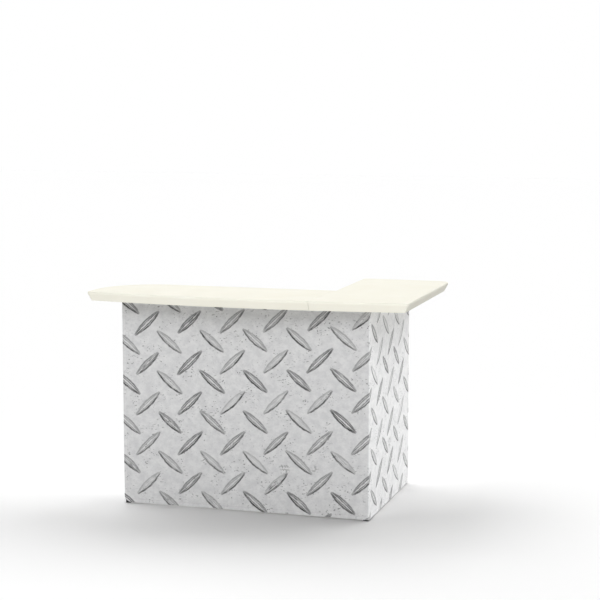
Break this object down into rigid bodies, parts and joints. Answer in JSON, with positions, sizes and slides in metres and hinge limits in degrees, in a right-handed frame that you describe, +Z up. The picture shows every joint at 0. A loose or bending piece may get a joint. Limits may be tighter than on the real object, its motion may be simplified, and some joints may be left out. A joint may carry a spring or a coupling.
{
  "type": "portable bar",
  "caption": "Folding portable bar: L-shaped moulded countertop with a bowed front on a hinged tube frame, wrapped in a printed tread-plate skin, with fold-up inner shelves.",
  "frame": {"origin": "on the floor, under the middle of the box round the whole bar", "axes": "+X along the front to the guest's right as seen facing the bar, +Y towards the bartender's side, +Z up"},
  "size_m": [1.626, 1.016, 1.067],
  "materials": {
    "counter_plastic": "cream blow-moulded polyethylene, faint pebble",
    "printed_skin": "printed stretch polyester, grey tread-plate print",
    "hook_tape": "black hook-and-loop tape",
    "frame_steel": "black powder coat on steel tube",
    "zinc_steel": "zinc-plated steel",
    "cap_plastic": "black moulded polyethylene",
    "fitting_plastic": "black moulded nylon",
    "shelf_board": "cream polyethylene board"
  },
  "bodies": {
    "front_frame": {"front_bottom_rail": "frame_steel", "front_feet": "cap_plastic", "front_hinge_rivets": "zinc_steel", "front_hook_strips": "hook_tape", "front_left_post": "frame_steel", "front_post_caps": "cap_plastic", "front_right_post": "frame_steel", "front_stiles": "frame_steel", "front_top_rail": "frame_steel", "left_hinge_fixed_leaves": "zinc_steel", "left_hinge_pins": "zinc_steel", "lower_shelf_rail": "frame_steel", "right_hinge_fixed_leaves": "zinc_steel", "right_hinge_pins": "zinc_steel", "shelf_hinge_fixed_leaves": "zinc_steel", "shelf_hinge_pins": "zinc_steel", "skin_corners": "printed_skin", "skin_front": "printed_skin", "upper_shelf_rail": "frame_steel"},
    "right_wing": {"right_hook_strips": "hook_tape", "right_wing_back_post": "frame_steel", "right_wing_bottom_rail": "frame_steel", "right_wing_feet": "cap_plastic", "right_wing_front_post": "frame_steel", "right_wing_hinge_leaves": "zinc_steel", "right_wing_hinge_rivets": "zinc_steel", "right_wing_mid_rail": "frame_steel", "right_wing_post_caps": "cap_plastic", "right_wing_top_rail": "frame_steel", "skin_right": "printed_skin"},
    "left_wing": {"left_hook_strips": "hook_tape", "left_wing_back_post": "frame_steel", "left_wing_bottom_rail": "frame_steel", "left_wing_feet": "cap_plastic", "left_wing_front_post": "frame_steel", "left_wing_hinge_leaves": "zinc_steel", "left_wing_hinge_rivets": "zinc_steel", "left_wing_mid_rail": "frame_steel", "left_wing_post_caps": "cap_plastic", "left_wing_top_rail": "frame_steel", "skin_left": "printed_skin"},
    "upper_shelf": {"upper_shelf_board": "shelf_board", "upper_shelf_hinge_leaves": "zinc_steel", "upper_shelf_hinge_rivets": "zinc_steel"},
    "lower_shelf": {"lower_shelf_board": "shelf_board", "lower_shelf_hinge_leaves": "zinc_steel", "lower_shelf_hinge_rivets": "zinc_steel"},
    "countertop": {"base_screws": "zinc_steel", "button_blocks": "counter_plastic", "button_pivots": "zinc_steel", "locating_pegs": "fitting_plastic", "main_base_panel": "counter_plastic", "main_ribs": "counter_plastic", "main_top_shell": "counter_plastic", "return_base_panel": "counter_plastic", "return_ribs": "counter_plastic", "return_top_shell": "counter_plastic"},
    "back_button": {"back_turn_button": "fitting_plastic"},
    "front_button": {"front_turn_button": "fitting_plastic"}
  },
  "joints": [
    {"name": "right_wing_fold", "type": "hinge", "parent": "front_frame", "child": "right_wing", "pos_m": [0.58, -0.3235, 0.5], "axis": [0, 0, 1], "range_deg": [0, 90]},
    {"name": "left_wing_fold", "type": "hinge", "parent": "front_frame", "child": "left_wing", "pos_m": [-0.616, -0.3235, 0.5], "axis": [0, 0, -1], "range_deg": [0, 90]},
    {"name": "upper_shelf_fold", "type": "hinge", "parent": "front_frame", "child": "upper_shelf", "pos_m": [0, -0.3585, 0.684], "axis": [1, 0, 0], "range_deg": [0, 90]},
    {"name": "lower_shelf_fold", "type": "hinge", "parent": "front_frame", "child": "lower_shelf", "pos_m": [0, -0.3585, 0.344], "axis": [1, 0, 0], "range_deg": [0, 90]},
    {"name": "countertop_lift", "type": "slide", "parent": "front_frame", "child": "countertop", "axis": [0, 0, 1], "range_m": [0, 0.25]},
    {"name": "back_button_turn", "type": "hinge", "parent": "countertop", "child": "back_button", "pos_m": [0.31, -0.148, 1.0377], "axis": [0, 0, 1], "range_deg": [0, 90]},
    {"name": "front_button_turn", "type": "hinge", "parent": "countertop", "child": "front_button", "pos_m": [0.31, -0.288, 1.0377], "axis": [0, 0, 1], "range_deg": [0, 90]}
  ],
  "couplings": [
    {"joint": "upper_shelf_fold", "follows": "right_wing_fold", "ratio": 1},
    {"joint": "lower_shelf_fold", "follows": "right_wing_fold", "ratio": 1}
  ]
}
